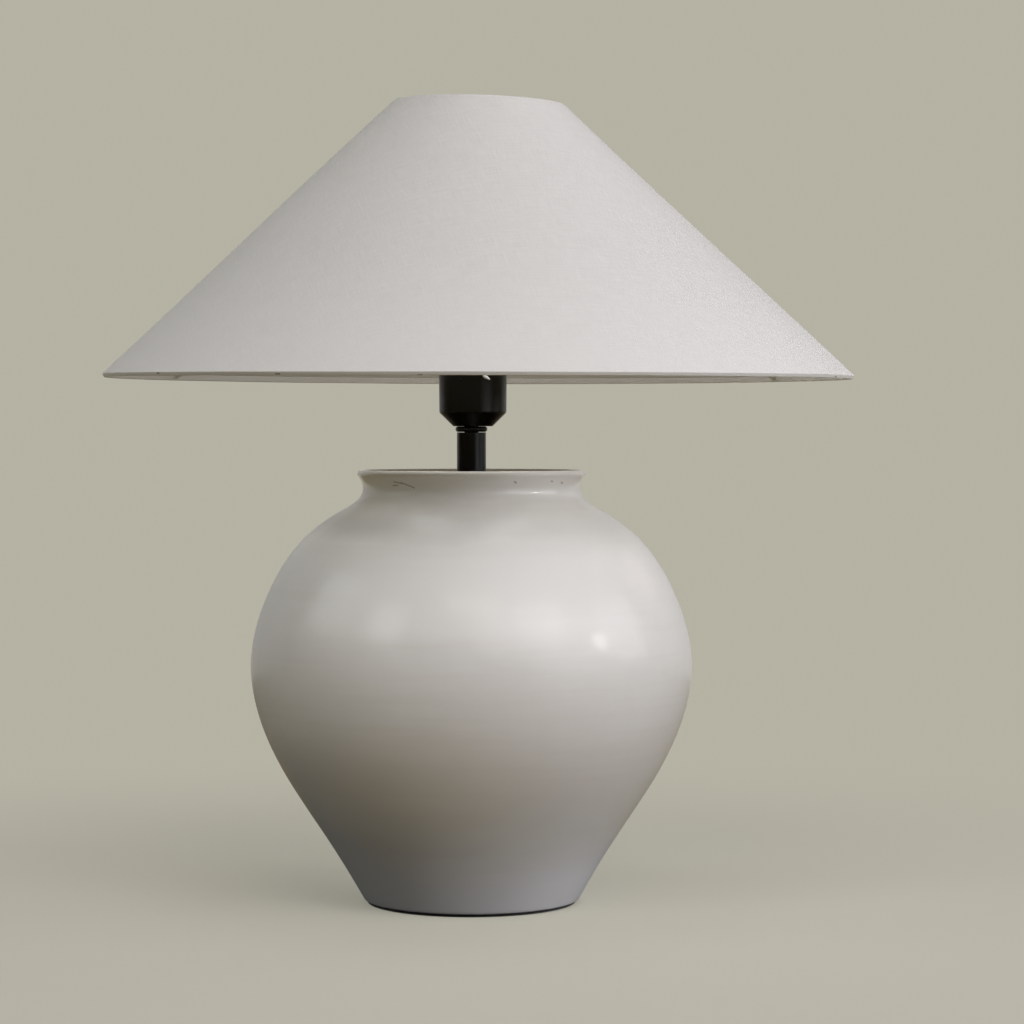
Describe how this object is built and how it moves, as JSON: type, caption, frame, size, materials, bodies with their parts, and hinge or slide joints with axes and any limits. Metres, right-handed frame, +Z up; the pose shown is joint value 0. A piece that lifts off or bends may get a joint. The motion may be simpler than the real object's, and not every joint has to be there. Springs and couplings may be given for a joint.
{
  "type": "table lamp",
  "caption": "Table lamp: a white glazed ceramic vase on a felt foot, a black tube and screw lampholder, and a wide conical white fabric shade.",
  "frame": {"origin": "on the surface that the lamp stands on, on the lamp's axis", "axes": "+Z up along the lamp's axis; the cord leaves the foot towards +Y, the back; -Y is the front and +X the right"},
  "size_m": [0.4992, 0.4992, 0.533],
  "materials": {
    "glaze": "satin white glaze, thrown stoneware",
    "felt": "dense black felt",
    "rubber": "matt black rubber",
    "steel": "zinc-plated steel",
    "black_metal": "satin black powder coat",
    "black_resin": "moulded black resin",
    "porcelain": "unglazed steatite",
    "brass": "plain brass",
    "bulb_glass": "frosted white glass",
    "nickel": "nickel-plated brass",
    "dark_glass": "black glass insulator",
    "white_wire": "white powder coat",
    "laminate": "matt off-white styrene laminate",
    "linen": "white plain-weave linen blend"
  },
  "bodies": {
    "base": {"ceramic_vase": "glaze", "felt_pad": "felt", "cord_grommet": "rubber", "inner_gasket": "rubber", "threaded_rod": "steel", "bottom_nut": "steel", "bottom_lock_washer": "steel", "bottom_washer": "steel", "inner_washer": "steel", "sleeve_tube": "black_metal", "collar": "black_metal", "holder_cup": "black_metal", "lock_screw": "steel", "terminal_block": "porcelain", "terminal_screw_live": "brass", "terminal_screw_neutral": "brass", "earth_screw": "steel", "centre_contact": "brass", "thread_shell": "brass", "holder_shell": "black_resin", "shade_ring_lower": "black_resin"},
    "shade": {"spider_hub": "white_wire", "spider_arm_1": "white_wire", "spider_arm_2": "white_wire", "spider_arm_3": "white_wire", "bottom_ring": "white_wire", "top_ring": "white_wire", "shade_liner": "laminate", "shade_fabric": "linen"},
    "shade_ring": {"shade_ring_upper": "black_resin"},
    "bulb_seat": {"bulb_tip": "nickel"},
    "bulb": {"bulb_glass": "bulb_glass", "bulb_cap": "nickel", "bulb_insulator": "dark_glass"}
  },
  "joints": [
    {"name": "shade_turn", "type": "hinge", "parent": "base", "child": "shade", "pos_m": [0, 0, 0.3592], "axis": [0, 0, 1], "continuous": true},
    {"name": "shade_ring_turn", "type": "hinge", "parent": "base", "child": "shade_ring", "pos_m": [0, 0, 0.3635], "axis": [0, 0, 1], "range_deg": [0, 360]},
    {"name": "bulb_rise", "type": "slide", "parent": "base", "child": "bulb_seat", "axis": [0, 0, 1], "range_m": [0, 0.0218]},
    {"name": "bulb_unscrew", "type": "hinge", "parent": "bulb_seat", "child": "bulb", "pos_m": [0, 0, 0.37], "axis": [0, 0, 1], "range_deg": [0, 2160]}
  ],
  "couplings": [
    {"joint": "bulb_rise", "follows": "bulb_unscrew", "m_per_rad": 0.000576}
  ]
}
